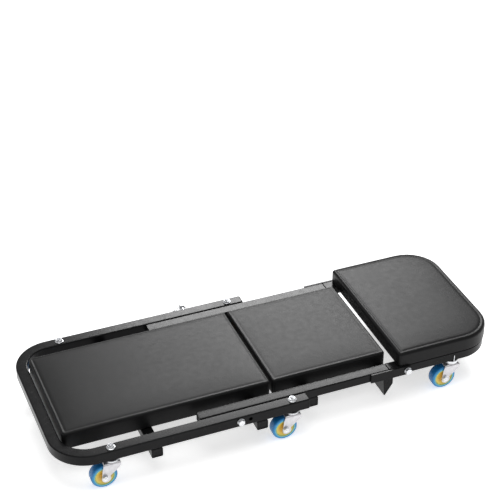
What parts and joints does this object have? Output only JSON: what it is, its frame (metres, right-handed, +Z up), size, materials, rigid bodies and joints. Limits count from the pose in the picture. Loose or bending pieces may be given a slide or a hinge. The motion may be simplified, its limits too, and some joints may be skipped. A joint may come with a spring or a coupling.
{
  "type": "mechanics creeper",
  "caption": "Low wheeled bed for working under a vehicle, with padded sections that fold at two hinges into a rolling seat.",
  "frame": {"origin": "centre of the flat bed's bounding box in X and Y, on the floor", "axes": "+X towards the head end, +Y towards the side with the lock pin, +Z up"},
  "size_m": [1.02, 0.4436, 0.1275],
  "materials": {
    "powder_coat": "satin",
    "vinyl": "satin",
    "board": "matte",
    "zinc": "satin",
    "chrome": "polished",
    "core": "satin",
    "tread": "satin"
  },
  "bodies": {
    "base": {"base_frame_tube": "powder_coat", "base_cross_tube_foot": "powder_coat", "base_cross_tube_pivot": "powder_coat", "base_pad": "vinyl", "base_pad_board": "board", "pivot_bolt_near": "zinc", "pivot_bolt_far": "zinc", "caster_foot_near_stem": "zinc", "caster_foot_near_nut": "zinc", "caster_foot_far_stem": "zinc", "caster_foot_far_nut": "zinc", "caster_mid_near_stem": "zinc", "caster_mid_near_nut": "zinc", "caster_mid_far_stem": "zinc", "caster_mid_far_nut": "zinc"},
    "middle": {"middle_rail_near": "powder_coat", "middle_rail_far": "powder_coat", "hinge_plate_near": "powder_coat", "hinge_plate_far": "powder_coat", "middle_cross_tube": "powder_coat", "middle_stop_tube": "powder_coat", "middle_spine_bar": "powder_coat", "middle_pad": "vinyl", "middle_pad_board": "board", "hinge_bolt_near": "zinc", "hinge_bolt_far": "zinc"},
    "head": {"head_frame_tube": "powder_coat", "head_cross_tube": "powder_coat", "head_pad": "vinyl", "head_pad_board": "board", "caster_head_near_stem": "zinc", "caster_head_far_stem": "zinc"},
    "lock_pin": {"lock_pin": "zinc"},
    "pull_ring": {"pull_ring": "chrome"},
    "fork_foot_near": {"caster_foot_near_fork": "zinc", "caster_foot_near_axle": "zinc"},
    "wheel_foot_near": {"caster_foot_near_core": "core", "caster_foot_near_tread": "tread"},
    "fork_foot_far": {"caster_foot_far_fork": "zinc", "caster_foot_far_axle": "zinc"},
    "wheel_foot_far": {"caster_foot_far_core": "core", "caster_foot_far_tread": "tread"},
    "fork_mid_near": {"caster_mid_near_fork": "zinc", "caster_mid_near_axle": "zinc"},
    "wheel_mid_near": {"caster_mid_near_core": "core", "caster_mid_near_tread": "tread"},
    "fork_mid_far": {"caster_mid_far_fork": "zinc", "caster_mid_far_axle": "zinc"},
    "wheel_mid_far": {"caster_mid_far_core": "core", "caster_mid_far_tread": "tread"},
    "fork_head_near": {"caster_head_near_fork": "zinc", "caster_head_near_axle": "zinc"},
    "wheel_head_near": {"caster_head_near_core": "core", "caster_head_near_tread": "tread"},
    "fork_head_far": {"caster_head_far_fork": "zinc", "caster_head_far_axle": "zinc"},
    "wheel_head_far": {"caster_head_far_core": "core", "caster_head_far_tread": "tread"}
  },
  "joints": [
    {"name": "middle_fold", "type": "hinge", "parent": "base", "child": "middle", "pos_m": [-0.1155, -0.01, 0.082], "axis": [0, -1, 0], "range_deg": [0, 122]},
    {"name": "head_fold", "type": "hinge", "parent": "middle", "child": "head", "pos_m": [0.286, -0.01, 0.082], "axis": [0, 1, 0], "range_deg": [0, 122]},
    {"name": "lock_pin_slide", "type": "slide", "parent": "base", "child": "lock_pin", "axis": [0, 1, 0], "range_m": [-0.016, 0]},
    {"name": "pull_ring_swing", "type": "hinge", "parent": "lock_pin", "child": "pull_ring", "pos_m": [-0.093, 0.2173, 0.082], "axis": [1, 0, 0], "range_deg": [0, 95]},
    {"name": "swivel_foot_near", "type": "hinge", "parent": "base", "child": "fork_foot_near", "pos_m": [-0.395, -0.2013, 0.06], "axis": [0, 0, 1], "continuous": true},
    {"name": "roll_foot_near", "type": "hinge", "parent": "fork_foot_near", "child": "wheel_foot_near", "pos_m": [-0.415, -0.2013, 0.0285], "axis": [0, 1, 0], "continuous": true},
    {"name": "swivel_foot_far", "type": "hinge", "parent": "base", "child": "fork_foot_far", "pos_m": [-0.395, 0.1813, 0.06], "axis": [0, 0, 1], "continuous": true},
    {"name": "roll_foot_far", "type": "hinge", "parent": "fork_foot_far", "child": "wheel_foot_far", "pos_m": [-0.415, 0.1813, 0.0285], "axis": [0, 1, 0], "continuous": true},
    {"name": "swivel_mid_near", "type": "hinge", "parent": "base", "child": "fork_mid_near", "pos_m": [0.0066, -0.2013, 0.06], "axis": [0, 0, 1], "continuous": true},
    {"name": "roll_mid_near", "type": "hinge", "parent": "fork_mid_near", "child": "wheel_mid_near", "pos_m": [-0.0134, -0.2013, 0.0285], "axis": [0, 1, 0], "continuous": true},
    {"name": "swivel_mid_far", "type": "hinge", "parent": "base", "child": "fork_mid_far", "pos_m": [0.0066, 0.1813, 0.06], "axis": [0, 0, 1], "continuous": true},
    {"name": "roll_mid_far", "type": "hinge", "parent": "fork_mid_far", "child": "wheel_mid_far", "pos_m": [-0.0134, 0.1813, 0.0285], "axis": [0, 1, 0], "continuous": true},
    {"name": "swivel_head_near", "type": "hinge", "parent": "head", "child": "fork_head_near", "pos_m": [0.403, -0.1747, 0.06], "axis": [0, 0, 1], "continuous": true},
    {"name": "roll_head_near", "type": "hinge", "parent": "fork_head_near", "child": "wheel_head_near", "pos_m": [0.383, -0.1747, 0.0285], "axis": [0, 1, 0], "continuous": true},
    {"name": "swivel_head_far", "type": "hinge", "parent": "head", "child": "fork_head_far", "pos_m": [0.403, 0.1547, 0.06], "axis": [0, 0, 1], "continuous": true},
    {"name": "roll_head_far", "type": "hinge", "parent": "fork_head_far", "child": "wheel_head_far", "pos_m": [0.383, 0.1547, 0.0285], "axis": [0, 1, 0], "continuous": true}
  ]
}
